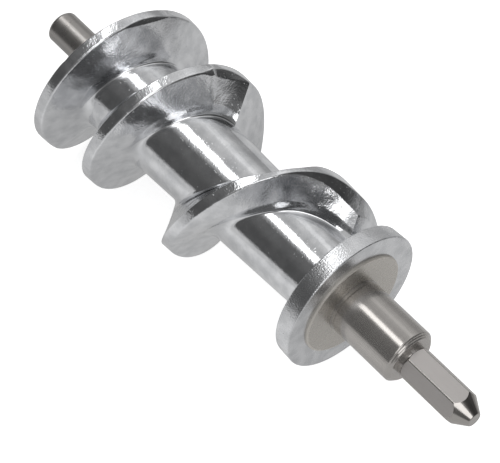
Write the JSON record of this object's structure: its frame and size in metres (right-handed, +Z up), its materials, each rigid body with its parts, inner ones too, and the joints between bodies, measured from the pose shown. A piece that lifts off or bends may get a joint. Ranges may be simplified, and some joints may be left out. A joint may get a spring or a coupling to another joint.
{
  "type": "meat grinder auger",
  "caption": "Cast feed screw of a meat grinder with a tapered core, a left-hand flight of growing lead, a rear flange, a steel journal with a hexagonal drive end and a steel plate pin.",
  "frame": {"origin": "on the screw's axis, in the middle of the journal's bearing length", "axes": "+X along the axis towards the hexagonal drive end, +Z up with the screw lying on its side"},
  "size_m": [0.1805, 0.0553, 0.0555],
  "materials": {
    "cast_metal": "bright die-cast and tumbled",
    "shaft_steel": "turned and polished",
    "washer_steel": "ground",
    "stud_steel": "turned"
  },
  "bodies": {
    "root": {"auger_casting": "cast_metal", "drive_shaft": "shaft_steel", "thrust_washer": "washer_steel", "front_stud": "stud_steel"}
  },
  "joints": []
}
